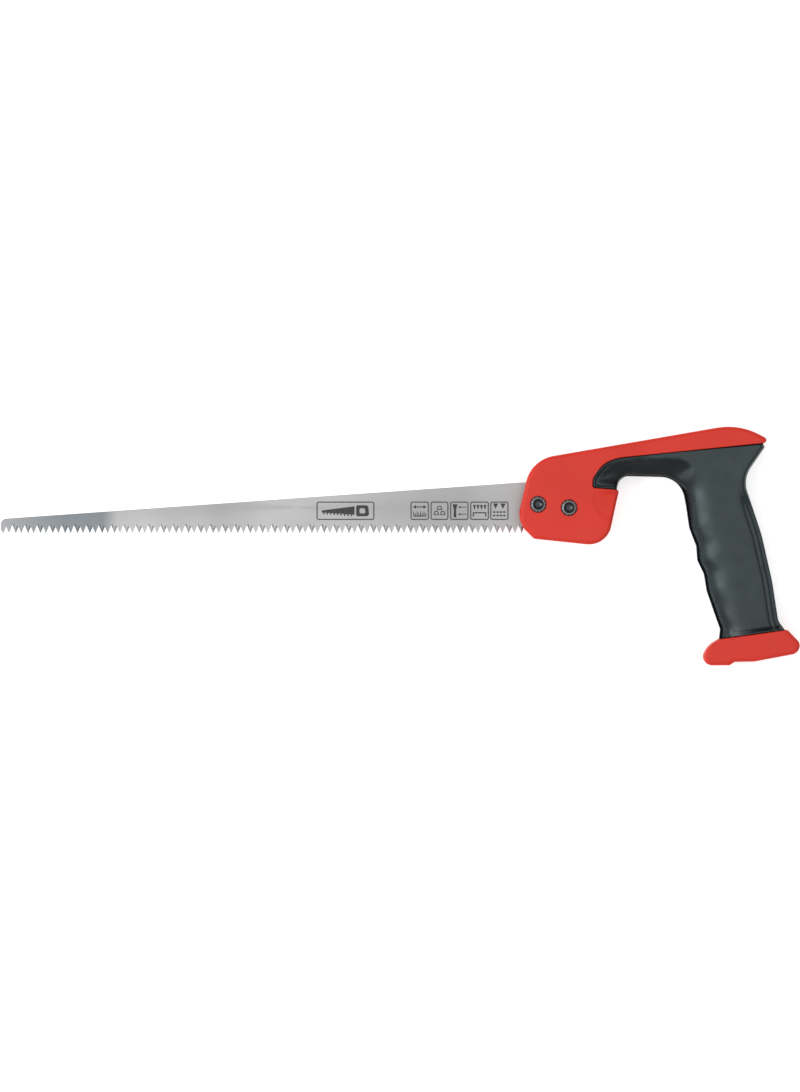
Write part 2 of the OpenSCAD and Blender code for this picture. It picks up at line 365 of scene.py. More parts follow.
class Finish:
    """Builds one node material step by step."""

    def __init__(self, name, **sockets):
        self.material = bpy.data.materials.new(name)
        self.material.use_nodes = True
        self.tree = self.material.node_tree
        self.shader = self.tree.nodes["Principled BSDF"]
        for key, value in sockets.items():
            self.shader.inputs[key.replace("_", " ")].default_value = value
        where = self.node("ShaderNodeTexCoord")
        self.place = where.outputs["Object"]

    def node(self, kind, **settings):
        made = self.tree.nodes.new(kind)
        for key, value in settings.items():
            setattr(made, key, value)
        return made

    def link(self, source, target):
        self.tree.links.new(source, target)

    def stretched(self, scale):
        mapping = self.node("ShaderNodeMapping")
        mapping.inputs["Scale"].default_value = scale
        self.link(self.place, mapping.inputs["Vector"])
        return mapping.outputs["Vector"]

    def noise(self, scale, detail=3.0, rough=0.5, stretch=None):
        texture = self.node("ShaderNodeTexNoise")
        texture.inputs["Scale"].default_value = scale
        texture.inputs["Detail"].default_value = detail
        texture.inputs["Roughness"].default_value = rough
        self.link(self.stretched(stretch) if stretch else self.place, texture.inputs["Vector"])
        return texture.outputs["Fac"]

    def cells(self, scale):
        texture = self.node("ShaderNodeTexVoronoi")
        texture.inputs["Scale"].default_value = scale
        self.link(self.place, texture.inputs["Vector"])
        return texture.outputs["Distance"]

    def ranged(self, source, low, high, to_low, to_high):
        mapped = self.node("ShaderNodeMapRange")
        for key, value in (("From Min", low), ("From Max", high), ("To Min", to_low),
                           ("To Max", to_high)):
            mapped.inputs[key].default_value = value
        self.link(source, mapped.inputs["Value"])
        return mapped.outputs["Result"]

    def distance_from(self, at):
        """Distance in the saw's plane from a point of the drawing, in metres."""
        apart = self.node("ShaderNodeVectorMath", operation="DISTANCE")
        self.link(self.stretched((1, 1, 0)), apart.inputs[0])
        apart.inputs[1].default_value = (ORIGIN.x + at[0] * MM, ORIGIN.y + at[1] * MM, 0)
        return apart.outputs["Value"]

    def ramp(self, source, stops):
        made = self.node("ShaderNodeValToRGB")
        while len(made.color_ramp.elements) < len(stops):
            made.color_ramp.elements.new(0.5)
        for element, (at, colour) in zip(made.color_ramp.elements, stops):
            element.position = at
            element.color = colour
        self.link(source, made.inputs["Fac"])
        return made.outputs["Color"]

    def mix(self, amount, a, b, blend="MIX"):
        made = self.node("ShaderNodeMix", data_type="RGBA", blend_type=blend)
        for source, number in ((amount, 0), (a, 6), (b, 7)):
            self.feed(source, made.inputs[number])
        return made.outputs[2]

    def feed(self, source, target):
        """Links a socket to an input, or sets the input to a plain value."""
        if isinstance(source, (int, float, tuple)):
            target.default_value = source
        else:
            self.link(source, target)

    def computed(self, operation, *sources):
        made = self.node("ShaderNodeMath", operation=operation)
        for source, target in zip(sources, made.inputs):
            self.feed(source, target)
        return made.outputs[0]

    def scaled(self, colour, amount):
        """A colour multiplied by a value."""
        grey = self.node("ShaderNodeCombineColor")
        for channel in range(3):
            self.link(amount, grey.inputs[channel])
        return self.mix(1.0, colour, grey.outputs[0], "MULTIPLY")

    def axes(self):
        """X, Y and Z of the point being shaded, in metres."""
        split = self.node("ShaderNodeSeparateXYZ")
        self.link(self.place, split.inputs[0])
        return split.outputs

    def worn_edges(self, low=0.53, high=0.60, amount=0.6):
        """Where edges stand out, broken up by noise."""
        geometry = self.node("ShaderNodeNewGeometry")
        edge = self.ranged(geometry.outputs["Pointiness"], low, high, 0, amount)
        patchy = self.ranged(self.noise(260, 4), 0.4, 0.65, 0, 1)
        return self.computed("MULTIPLY", edge, patchy)

    def colour(self, source):
        self.link(source, self.shader.inputs["Base Color"])

    def roughness(self, source):
        self.link(source, self.shader.inputs["Roughness"])

    def bump(self, source, strength, distance, below=None):
        made = self.node("ShaderNodeBump")
        made.inputs["Strength"].default_value = strength
        made.inputs["Distance"].default_value = distance
        self.link(source, made.inputs["Height"])
        if below:
            self.link(below, made.inputs["Normal"])
        self.link(made.outputs["Normal"], self.shader.inputs["Normal"])
        return made.outputs["Normal"]


def moulded_plastic(name, code):
    """Hard moulded plastic: a fine spark-eroded grain, a little cloudiness, paler rubbed edges."""
    base = linear(code)
    finish = Finish(name, Specular_IOR_Level=0.28)
    cloudy = finish.ramp(finish.noise(45, 4), [
        (0.30, shade(base, 0.94)), (0.70, shade(base, 1.05))])
    finish.colour(finish.mix(finish.worn_edges(), cloudy, shade(base, 0.75, 0.06)))
    finish.roughness(finish.ranged(finish.noise(90, 4), 0.3, 0.7, 0.40, 0.54))
    grain = finish.bump(finish.noise(2600, 2), 0.10, 0.00006)
    finish.bump(finish.noise(160, 2), 0.05, 0.0003, grain)
    return finish.material


def painted_scoop_shade(finish, axes):
    """Mask of painted shade: 1 in the scoop under the bar, 0 on its flat sides and on the grip behind
    it.
    """
    bar = finish.ranged(axes["X"], ORIGIN.x + 100 * MM, ORIGIN.x + 93 * MM, 0, 1)
    height = finish.computed("ABSOLUTE", finish.computed("SUBTRACT", axes["Z"], MIDDLE_Z))
    top = GRIP_HALF * MM
    low = finish.ranged(height, top - 0.35 * MM, top - 1.0 * MM, 0, 1)
    return finish.computed("MULTIPLY", bar, low)


def soft_rubber(name, code):
    """Soft over-moulded rubber: matte, with a fine leathery grain and dull rubbed patches."""
    base = linear(code)
    finish = Finish(name, Specular_IOR_Level=0.5, Specular_Tint=(0.84, 0.97, 1.0, 1))
    tone = finish.ramp(finish.noise(150, 6, 0.7), [
        (0.30, shade(base, 0.78)), (0.72, shade(base, 1.2))])
    # darker towards the foot, and painted shade, near black, in the scoop under the bar
    axes = finish.axes()
    foot = finish.ranged(axes["Y"], ORIGIN.y - 34 * MM, ORIGIN.y - 54 * MM, 0, 1)
    tone = finish.mix(foot, tone, linear("11171a"))
    tone = finish.mix(painted_scoop_shade(finish, axes), tone, linear("0d0d0e"))
    finish.colour(finish.mix(finish.worn_edges(0.54, 0.64, 0.5), tone, shade(base, 1.6, 0.01)))
    finish.roughness(finish.ranged(finish.noise(120, 5), 0.3, 0.7, 0.32, 0.46))
    grain = finish.bump(finish.cells(1500), 0.22, 0.00010)
    finish.bump(finish.noise(700, 4, 0.6), 0.22, 0.00012, grain)
    return finish.material


def brushed_steel(name, code):
    """Ground spring steel: fine grinding lines and broad tonal bands."""
    base = linear(code)
    finish = Finish(name, Metallic=1.0, Anisotropic=0.35)
    lines = finish.noise(420, 3, 0.6, (9, 1, 1))
    bands = finish.noise(16, 2, 0.4, (1.0, 0.12, 0.12))
    tone = finish.ramp(bands, [(0.30, shade(base, 0.80)), (0.50, base), (0.70, shade(base, 1.10))])
    finish.colour(finish.scaled(tone, finish.ranged(lines, 0.3, 0.7, 0.92, 1.05)))
    finish.roughness(finish.ranged(lines, 0.25, 0.75, 0.34, 0.50))
    finish.bump(lines, 0.12, 0.00004)
    return finish


def blade_steel():
    """The blade's steel, with a painted blue-grey reflection in a patch behind the toe."""
    finish = brushed_steel("blade_steel", "9f9e9e")
    ground = finish.shader.inputs["Base Color"].links[0].from_socket
    along = finish.axes()["X"]
    toe = ORIGIN.x - 300 * MM
    # painted reflection: a blue-grey patch behind the toe
    patch = finish.computed("MULTIPLY", finish.ranged(along, toe - 0.022, toe + 0.036, 0, 1),
                            finish.ranged(along, toe + 0.058, toe + 0.066, 1, 0))
    finish.colour(finish.mix(patch, ground, linear("777d81")))
    return finish.material


def screw_steel(name, at):
    """Blackened screw steel: a rim of rubbed steel and painted highlight, a black face, a greyer
    socket.
    """
    finish = Finish(name, Metallic=0.5)
    # the bright band over the knurled chamfer is rubbed steel and partly painted highlight
    tones = finish.ramp(finish.ranged(finish.distance_from(at), 0, 0.005, 0, 1), [
        (0.08, linear("1c1f21")), (0.12, linear("565c5f")), (0.38, linear("4a5053")),
        (0.43, linear("0b0d0e")), (0.64, linear("0b0d0e")), (0.68, linear("8f9598")),
        (0.84, linear("7f8588"))])
    worn = finish.ranged(finish.noise(900, 4), 0.3, 0.7, 0.7, 1.15)
    uneven = finish.scaled(tones, worn)
    finish.colour(finish.mix(finish.worn_edges(0.53, 0.60, 0.5), uneven, linear("a0a5a8")))
    finish.roughness(finish.ranged(finish.noise(700, 3), 0.3, 0.7, 0.36, 0.52))
    finish.bump(finish.noise(2200, 3), 0.12, 0.00003)
    return finish.material


def marking_ink(name, code):
    """Printed marking: matte, a little uneven, as ink rolled on steel is."""
    base = linear(code)
    finish = Finish(name, Specular_IOR_Level=0.3, Metallic=0.2)
    finish.colour(finish.ramp(finish.noise(900, 4), [
        (0.3, shade(base, 0.75)), (0.7, shade(base, 1.3))]))
    finish.roughness(finish.ranged(finish.noise(600, 3), 0.3, 0.7, 0.5, 0.7))
    finish.bump(finish.noise(3000, 2), 0.1, 0.00002)
    return finish.material


def studio_floor():
    finish = Finish("studio_floor", Specular_IOR_Level=0.1, Emission_Strength=0.58)
    finish.shader.inputs["Emission Color"].default_value = (1, 1, 1, 1)
    finish.colour(finish.ramp(finish.noise(3, 2), [
        (0.3, (0.84, 0.84, 0.84, 1)), (0.7, (0.86, 0.86, 0.86, 1))]))
    finish.roughness(finish.ranged(finish.noise(8, 2), 0.3, 0.7, 0.85, 0.95))
    return finish.material


RED = moulded_plastic("red_plastic", "ce2f20")
RED_CAP = moulded_plastic("red_plastic_cap", "cf2f21")
RUBBER = soft_rubber("grey_green_rubber", "141f21")
STEEL = blade_steel()
FRONT_BLACK = screw_steel("front_black_oxide", FRONT_SCREW)
REAR_BLACK = screw_steel("rear_black_oxide", REAR_SCREW)
PLATED = brushed_steel("plated_steel", "a9adb0").material
LINE_INK = marking_ink("marking_line", "515457")
DARK_INK = marking_ink("marking_dark", "3c3e41")


# ---------------- the hard handle shells

# Counterclockwise from the top of the head, down its front and back along the claw of the grip
HEAD = [(5.7, 42.75, 19.2), (-2.75, 7, 14), (7.2, -3, 2.5), (49.05, -7.4, 13),
        (56.2, 25.15, 1.3)]
CLAW = [(41, 26.4, 1.6), (40.7, 31.6, 7), (47, 40.4, 15), (55, 43.75, 28), (140.3, 52.35, 0.2)]
SPINE = [(142.2, 54.55, 1.7), (125.4, 63.4, 38)]
SHELL_EDGE = 2.2
CLAW_EDGE = 0.5
RELIEF_CENTRE = (57.6, 21.4)
RELIEF_RADIUS = 16.5
BORE = 2.7                     # radius of the screws' bores in the shells and the blade


def claw_line():
    """The line where the shells meet the soft grip."""
    return rounded([(56.2, 25.15, 0)] + CLAW[:4] + [(140.0, 52.32, 0)], closed=False)


def shell_surface():
    outline = resampled(rounded(HEAD + CLAW + SPINE), 0.8)
    points, faces = cover(outline, EDGE_DEPTHS, 1.3)
    claw = claw_line()
    on_claw = distance_to(outline, claw) < 0.02
    free = [looped(outline)[i:i + 2] for i in range(len(outline))
            if not (on_claw[i] and on_claw[(i + 1) % len(outline)])]
    free_gap = np.min([distance_to(points, piece) for piece in free], axis=0)
    drop = blended(quarter(free_gap, SHELL_EDGE, SHELL_EDGE),
                   quarter(distance_to(points, claw), CLAW_EDGE, CLAW_EDGE))
    # the shallow finger relief behind the screws, with a crisp edge
    reach = RELIEF_RADIUS - np.linalg.norm(points - RELIEF_CENTRE, axis=1)
    reach = np.minimum(reach, points[:, 1] - 8.2)
    reach = np.where(points[:, 1] < 25.2, reach, -1)
    relief = 0.35 * smooth(reach, 0, 0.8) + 0.9 * smooth(reach, 0.3, 13)
    relief *= smooth(points[:, 1], 25.0, 22.5)
    return outline, points, faces, HALF - drop - relief


def counterbore_tool(seat):
    """A stepped cutter: the screw's bore below, its counterbore above, a soft rim at the top."""
    wide = 4.8
    profile = [(0, -2), (BORE, -2), (BORE, seat), (wide, seat), (wide, HALF - 0.35),
               (wide + 0.1, HALF - 0.12), (wide + 0.4, HALF + 0.15), (wide + 0.4, HALF + 2),
               (0, HALF + 2)]
    return turned_solid(profile, 64)


def hex_radius(angle, across):
    """Distance from the middle of a hexagon to its edge, from its width across flats."""
    a = (angle + math.pi / 6) % (math.pi / 3) - math.pi / 6
    return across / 2 / math.cos(a)


def nut_pocket_tool(top):
    """A bore with a hexagonal pocket that opens downwards, with a chamfered mouth."""
    def hexagon(row, angle, radius):
        return radius if row < 2 else hex_radius(angle, 2 * radius)

    flat = 4.05
    profile = [(0, 2), (BORE, 2), (BORE, top), (flat, top), (flat, -HALF + 0.35),
               (flat + 0.4, -HALF - 0.05), (flat + 0.4, -HALF - 2), (0, -HALF - 2)]
    vertices, faces = turned_solid(profile, 72, hexagon)
    return vertices, [tuple(reversed(f)) for f in faces]


TANG = [(1.5, 5, 0), (38, 6.5, 3), (41, 14, 4), (38.5, 24.5, 4), (14, 30.4, 6), (0, 29.6, 0)]


def blade_bed_tool():
    """The space that the blade takes up inside the handle."""
    gap = 0.03
    line = rounded(TANG, closed=False)
    line = np.vstack([[(-12, -3), (1.5, -3)], line, [(-12, 29.0)]])
    vertices = []
    low = add_loop(vertices, line, -BLADE_HALF - gap)
    high = add_loop(vertices, line, BLADE_HALF + gap)
    return vertices, strip(low, high) + [low[::-1], high]


def build_shells():
    outline, points, faces, height = shell_surface()
    seat = node_mm("front_washer")[0] - 0.02
    pocket_top = node_mm("front_nut")[1] + 0.02
    for name, side in (("upper_shell", 1), ("lower_shell", -1)):
        vertices, quads = one_sided(outline, points, faces, height, 0.25, side)
        shell = make(name + "_body", vertices, quads, RED, "handle", [name])
        for at in (FRONT_SCREW, REAR_SCREW):
            tool, tool_faces = counterbore_tool(seat) if side > 0 else nut_pocket_tool(pocket_top)
            cut(shell, "bore_tool", moved(tool, at), tool_faces)
        cut(shell, "bed_tool", *blade_bed_tool())
        shell.data.shade_smooth()
        shell.data.set_sharp_from_angle(angle=math.radians(35))


# ---------------- the soft grip

GRIP_UNDER = [(55.0, 25.45, 0), (56.6, 33.4, 6.6), (91.8, 32.5, 14), (94.8, 18, 30),
              (97, 3.2, 9), (101.05, -7.2, 6), (101.6, -15.4, 6), (105.5, -23.4, 7),
              (107, -33, 10), (111.6, -46.2, 16), (114.85, -55.2, 4), (114.2, -60.65, 0)]
GRIP_BUTT = [(114.2, -60.65, 0), (151.9, -55.5, 0)]
GRIP_BACK = [(151.9, -55.5, 0), (148.1, -50.4, 8), (144.7, -28, 60), (138.5, -0.5, 60),
             (127.8, 31.7, 15.5), (140.4, 50.1, 0.6), (139.3, 51.6, 0)]
GRIP_CLAW = [(139.3, 51.6, 0), (90, 47.1, 0), (55, 43.55, 28), (47.1, 40.2, 14.8),
             (40.9, 31.6, 6.8), (41.2, 26.6, 1.4), (55.0, 25.45, 0)]
# The ridge round the scoop under the bar, from the front of the grip round the claw
SCOOP = [(94.5, 25.0, 0), (98.2, 32, 6), (98.6, 39.5, 5), (91.5, 43.3, 5), (55.4, 42.1, 28),
         (48.1, 39.1, 13.5), (42.2, 31, 5.8), (42.6, 28.7, 1.0), (55.3, 28.2, 0)]


def grip_lines(spacing=0.75):
    """The four stretches of the grip's outline, end to end and counterclockwise."""
    return [resampled(rounded(corners, closed=False), spacing, closed=False)
            for corners in (GRIP_UNDER, GRIP_BUTT, GRIP_BACK, GRIP_CLAW)]


def scoop_drop(points, bar, to_bar):
    """How far the scoop under the bar has dropped, from its ridge to the free edge."""
    ridge = rounded(SCOOP, closed=False)
    to_ridge = distance_to(points, ridge)
    in_scoop = inside(points, np.vstack([bar, ridge])) | (to_bar < 0.01)
    share = np.where(in_scoop, to_ridge / np.maximum(to_ridge + to_bar, 1e-6), 0)
    floor = 6.4 - 1.6 * smooth(points[:, 0], 62, 50)
    return floor * share ** 0.75 * smooth(to_ridge, -0.6, 1.0) + quarter(to_bar, 2.0, 2.2)


def rear_drop(y, to_back):
    """A rim runs down the back, with a step between it and the palm swell."""
    stepped = np.interp(to_back, [0, 0.25, 0.6, 2.4, 2.9, 4.9, 5.8, 8],
                        [4.5, 3.95, 3.75, 3.7, 3.4, 0.6, 0.15, 0])
    plain = np.interp(to_back, [0, 0.25, 0.6, 1.1, 1.8, 3], [4.2, 2.7, 1.6, 0.8, 0.25, 0])
    below_waist = smooth(y, 27, 12)
    return below_waist * stepped + (1 - below_waist) * plain


def fine_relief(x, y, to_front, to_butt, to_back, to_claw):
    """What stays crisp on the grip: its bead, grooves, finger ridges and horn."""
    # a bead and a groove inside the claw's edge
    bead = smooth(x, 80, 60)
    height = 0.55 * bead * np.exp(-((to_claw - 0.7) / 0.6) ** 2)
    height -= 0.4 * bead * np.exp(-((to_claw - 1.8) / 0.5) ** 2)
    # a groove above the butt
    foot = smooth(x, 122, 142)
    height -= 1.3 * foot * np.exp(-((to_butt - 1.9) / 0.7) ** 2) * smooth(to_back, 0.5, 3)
    # finger ridges fade in from the front edge
    wave = np.cos(2 * math.pi * (y + 16.0) / 17.0)
    height += 0.11 * wave * smooth(y, 9, -4) * np.exp(-((to_front - 7) / 5) ** 2)
    # the horn under the spine's nose curls up towards its edge
    height += 0.7 * smooth(y, 22, 38) * (1 - smooth(to_back, 1.5, 11)) * smooth(x, 112, 126)
    return height


def grip_surface():
    under, butt, back, claw = grip_lines()
    outline = np.vstack([under[:-1], butt[:-1], back[:-1], claw[:-1]])
    depths = (0.05, 0.16, 0.34, 0.6, 0.95, 1.35, 1.8, 2.3, 2.9)
    points, faces = cover(outline, depths, 0.85)
    turn = int(np.argmax((under[:, 0] > 90) & (under[:, 1] < 25)))
    bar, front = under[:turn + 1], under[turn:]
    gaps = [distance_to(points, line) for line in (front, butt, back, claw)]
    to_front, to_butt, to_back, to_claw = gaps

    drop = blended(quarter(to_front + 0.05, 18, 11.4),
                   scoop_drop(points, bar, distance_to(points, bar)),
                   quarter(to_claw, 0.3, 0.3), quarter(to_butt, 0.6, 0.6))
    x, y = points[:, 0], points[:, 1]
    drop = blended(relaxed(drop, faces, len(outline), 5), rear_drop(y, to_back))
    height = GRIP_HALF - relaxed(drop, faces, len(outline), 1) + fine_relief(x, y, *gaps)
    return outline, points, faces, np.clip(height, 0.6, HALF - 0.05)


def build_grip():
    outline, points, faces, height = grip_surface()
    tongue = np.zeros(len(outline))
    for own, other in ((GRIP_CLAW, claw_line()), (GRIP_BUTT, np.array(BUTT[1::-1])[:, :2])):
        held = distance_to(outline, rounded(own, closed=False)) < 0.01
        gap = np.clip(distance_to(outline, other) - 0.02, 0, 0.8)
        tongue = np.maximum(tongue, np.where(held, gap, 0))
    vertices, everything = two_sided(outline, points, faces, height, tongue)
    return make("soft_grip", vertices, everything, RUBBER, "handle", ["grip_overmould"],
                sharp=50)


# ---------------- the butt cap

BUTT = [(151.95, -55.75, 0.25), (113.7, -60.95, 0.8), (107.2, -65.0, 13), (104.6, -71.2, 5),
        (107, -76.1, 4.5), (119.9, -75.95, 0.8), (122.9, -74, 1.5), (134, -73.85, 10),
        (159.2, -69.1, 5.3), (161, -63.4, 4.2), (153.35, -55.5, 1.3)]


def build_butt():
    outline = resampled(rounded(BUTT), 0.7)
    points, faces = cover(outline, EDGE_DEPTHS, 1.1)
    top = np.array(BUTT[1::-1])[:, :2]
    rest = quarter(distance_to(points, looped(outline)), SHELL_EDGE, SHELL_EDGE)
    by_top = smooth(distance_to(points, top), 0, 2.6)
    near_top = quarter(distance_to(points, top), 0.7, 0.7)
    height = HALF - blended(rest * np.maximum(by_top, 0.3), near_top)
    vertices, everything = two_sided(outline, points, faces, height)
    return make("butt_cap_body", vertices, everything, RED_CAP, "handle", ["butt_cap"])


# ---------------- the blade

BLADE_LEN = 301.0
PITCH = 7.134                  # from one pair of teeth to the next
SECOND = 0.455                 # share of that from a pair's second tip to the next pair
INNER_GULLET, OUTER_GULLET = 4.1, 5.0
TOE_H, HEEL_H = 8.5, 29.6
TOE_RADIUS = 3.4
FIRST_TIP = 0.15
BEVEL = 1.0
SET = 0.22
BLADE_CHAMFER = 0.22


def line_meet(p, u, q, v):
    """Where the line through p along u meets the line through q along v."""
    t = ((q[0] - p[0]) * v[1] - (q[1] - p[1]) * v[0]) / (u[0] * v[1] - u[1] * v[0])
    return p + t * u


def ground_tooth(tip, right, left):
    """The three points of a tooth's face where both its flanks are ground back."""
    u, v = unit(right - tip), unit(left - tip)
    a = tip + BEVEL * np.array([-u[1], u[0]])
    b = tip + BEVEL * np.array([v[1], -v[0]])

    def up_to(start, along, y):
        return start + along * (y - start[1]) / along[1]

    return up_to(a, u, right[1] + 0.55), line_meet(a, u, b, v), up_to(b, v, left[1] + 0.55)


def fill(vertices, loops):
    """Triangles between an outer loop of vertex numbers and the loops of its holes."""
    ids = [i for loop in loops for i in loop]
    flat = [Vector(vertices[i][:2]) for i in ids]
    edges, first = [], 0
    for loop in loops:
        n = len(loop)
        edges += [(first + k, first + (k + 1) % n) for k in range(n)]
        first += n
    result = delaunay_2d_cdt(flat, edges, [], 1, 1e-7)
    source = [ids[k[0]] for k in result[3]]
    rings = [np.array([vertices[i][:2] for i in loop]) for loop in loops]
    faces = [[source[i] for i in f] for f in result[2]]
    middle = np.array([np.mean([vertices[i][:2] for i in f], axis=0) for f in faces])
    good = inside(middle, rings[0])
    for ring in rings[1:]:
        good &= ~inside(middle, ring)
    return [f for f, keep in zip(faces, good) if keep]


class BladeMesh:
    """The blade, built from its heel along the teeth to the toe and back round the tang.
    upper and lower list the vertices of the body's edge along the teeth, on each face."""

    def __init__(self):
        self.vertices, self.faces = [], []
        self.top, self.low = BLADE_HALF, -BLADE_HALF
        self.right = np.array([1.5, 5.0])
        self.gullet = self.both(self.right)
        self.upper, self.lower = [self.gullet[0]], [self.gullet[1]]

    def point(self, p, z, side=0):
        """A vertex, moved sideways where the tooth that it's on is set."""
        moved_over = side * SET * max(0.0, 1 - p[1] / INNER_GULLET)
        self.vertices.append((p[0], p[1], z + moved_over))
        return len(self.vertices) - 1

    def both(self, p):
        return self.point(p, self.top), self.point(p, self.low)

    def tooth(self, x, next_x, first_of_pair):
        """The first tooth of a pair is ground from above and set down, the second the reverse."""
        left = np.array([(x + next_x) / 2, OUTER_GULLET if first_of_pair else INNER_GULLET])
        tip = np.array([x, 0.0])
        ground, flat, side = ((self.top, self.low, -1) if first_of_pair
                              else (self.low, self.top, 1))
        e_right, peak, e_left = (self.point(p, ground, side)
                                 for p in ground_tooth(tip, self.right, left))
        point = self.point(tip, flat, side)
        following = self.both(left)
        order = 1 if first_of_pair else -1
        g_ground, g_flat = self.gullet[::order]
        n_ground, n_flat = following[::order]
        faces = [(e_right, peak, e_left), (g_flat, n_flat, point),
                 (e_right, g_flat, point, peak), (peak, point, n_flat, e_left),
                 (g_ground, g_flat, e_right), (e_left, n_flat, n_ground)]
        self.faces += [f[::order] for f in faces]
        ground_edge, flat_edge = (self.upper, self.lower)[::order]
        ground_edge.extend([e_right, e_left, n_ground])
        flat_edge.append(n_flat)
        self.gullet, self.right = following, left

    def back(self, edge, last):
        """Chamfered walls from the toe round the back and the tang, and the last, plain tooth."""
        tip = self.vertices[last[0]][:2]
        step = inward(np.vstack([edge, [tip]])[::-1])[::-1][:-1]
        inset = edge + step * BLADE_CHAMFER
        inset[0], inset[-1] = edge[0], edge[-1]
        loops = [[self.point(p, z) for p in line[:-1]] for line, z in (
            (inset, self.top), (edge, self.top - BLADE_CHAMFER),
            (edge, self.low + BLADE_CHAMFER), (inset, self.low))]
        for a, b in zip(loops, loops[1:]):
            self.faces += [(a[i], a[i + 1], b[i + 1], b[i]) for i in range(len(a) - 1)]
        ends = [loop[-1] for loop in loops]
        self.faces.append((ends[0], self.upper[0], self.lower[0], *ends[:0:-1]))
        self.faces.append((last[0], *(loop[0] for loop in loops), last[1]))
        self.faces.append((self.gullet[0], *last, self.gullet[1]))
        self.upper += [last[0], *loops[0]]
        self.lower += [last[1], *loops[3]]

    def close(self, bores):
        """Both faces, with round bores through them."""
        holes = [[], []]
        for at in bores:
            ring = [(at[0] + x, at[1] + y) for x, y in circle(BORE, 32)]
            for side, z in zip(holes, (self.top, self.low)):
                side.append([self.point(p, z) for p in ring])
            self.faces += [f[::-1] for f in strip(holes[1][-1], holes[0][-1])]
        self.faces += fill(self.vertices, [self.upper] + holes[0])
        self.faces += [f[::-1] for f in fill(self.vertices, [self.lower] + holes[1])]


def build_blade():
    mesh = BladeMesh()
    pairs = math.floor((BLADE_LEN - 0.3) / PITCH)
    for k in range(pairs):
        first, after = FIRST_TIP - k * PITCH, FIRST_TIP - (k + 1) * PITCH
        second = first - PITCH * (1 - SECOND)
        mesh.tooth(first, second, True)
        mesh.tooth(second, after, False)
    corner = corner_arc(np.array([-BLADE_LEN, 0.0]), np.array([-BLADE_LEN, TOE_H]),
                        np.array([0.0, HEEL_H]), TOE_RADIUS, 12)
    tang = rounded(TANG, closed=False)[::-1]
    edge = resampled(np.vstack([[(-BLADE_LEN + 0.1, 2.2)], corner, tang]), 12, closed=False)
    mesh.back(edge, mesh.both((FIRST_TIP - pairs * PITCH, 0.0)))
    mesh.close((FRONT_SCREW, REAR_SCREW))
    return make("saw_blade", mesh.vertices, mesh.faces, STEEL, "handle", ["blade"],
                sharp=12)


# ---------------- the printed markings

class Marks:
    """Flat printed shapes on the blade, each a thin closed solid. Their y starts from FRAME_Y."""

    def __init__(self):
        self.vertices, self.faces = [], []
        self.low, self.high = BLADE_HALF - 0.01, BLADE_HALF + 0.02

    def loop(self, outline, z):
        return add_loop(self.vertices, [(x, y + FRAME_Y) for x, y in outline], z)

    def patch(self, outline):
        low, high = self.loop(outline, self.low), self.loop(outline, self.high)
        self.faces += strip(low, high) + [low[::-1], high]

    def band(self, outer, inner):
        loops = [self.loop(line, z) for line, z in (
            (outer, self.low), (outer, self.high), (inner, self.high), (inner, self.low))]
        for a, b in zip(loops, loops[1:] + loops[:1]):
            self.faces += strip(a, b)

    def bar(self, x0, y0, x1, y1):
        self.patch([(x0, y0), (x1, y0), (x1, y1), (x0, y1)])

    def frame(self, x0, x1, radius=1.3, line=0.72):
        def box(inset):
            r, y = radius - inset, FRAME_HALF - inset
            left, right = x0 + inset, x1 - inset
            return rounded([(left, -y, r), (right, -y, r), (right, y, r), (left, y, r)])
        self.band(box(0), box(line))

    def build(self, name, ink):
        return make(name, self.vertices, self.faces, ink, "handle")


FRAME_Y, FRAME_HALF = 13.25, 5.35      # middle and half height of the row of frames
WIDE_FRAME = (-118.5, -85.0)
SMALL_FRAMES = ((-64.2, -53.5), (-52.6, -42.2), (-41.3, -30.6), (-29.7, -18.8), (-18.1, -7.5))


def saw_sign(signs, x0, x1):
    """A saw in outline, with its handle on the right."""
    signs.patch([(x0 + 3, -1.0), (x1 - 11.5, -2.3), (x1 - 11.5, 2.6), (x0 + 3, 0.2)])
    for k in range(9):
        x = x0 + 4.2 + k * 2.0
        y = -1.1 - 1.3 * (x - x0 - 3) / 19
        signs.patch([(x - 0.7, y), (x, y - 1.2), (x + 0.7, y)])
    outer = [(x1 - 10.6, -3.2, 1), (x1 - 3, -3.2, 1.6), (x1 - 3.6, 3.2, 1.6), (x1 - 10.6, 3.2, 1)]
    inner = [(x1 - 8.6, -1.5, 0.7), (x1 - 5.2, -1.5, 0.8), (x1 - 5.5, 1.4, 0.8), (x1 - 8.6, 1.4, 0.7)]
    signs.band(rounded(outer), rounded(inner))


def length_sign(signs, x0, x1):
    """A rule with ticks under a double arrow."""
    y = 2.2
    signs.bar(x0 + 2.4, y - 0.3, x1 - 2.4, y + 0.3)
    signs.patch([(x0 + 1.4, y), (x0 + 3.2, y - 1), (x0 + 3.2, y + 1)])
    signs.patch([(x1 - 1.4, y), (x1 - 3.2, y + 1), (x1 - 3.2, y - 1)])
    signs.bar(x0 + 1.6, -3.4, x1 - 1.6, -2.8)
    for k in range(8):
        x = x0 + 1.6 + k * (x1 - x0 - 3.7) / 7
        signs.bar(x, -2.9, x + 0.5, -(0.4 if k % 2 == 0 else 1.4))


def steel_sign(signs, x0, x1):
    """Three stacked ingots."""
    for x, y in ((x0 + 1.7, -2.5), (x0 + 5.4, -2.5), (x0 + 3.55, 0.5)):
        signs.band([(x, y), (x + 3.3, y), (x + 2.6, y + 2.4), (x + 0.7, y + 2.4)],
                   [(x + 0.7, y + 0.5), (x + 2.6, y + 0.5), (x + 2.2, y + 1.9), (x + 1.1, y + 1.9)])


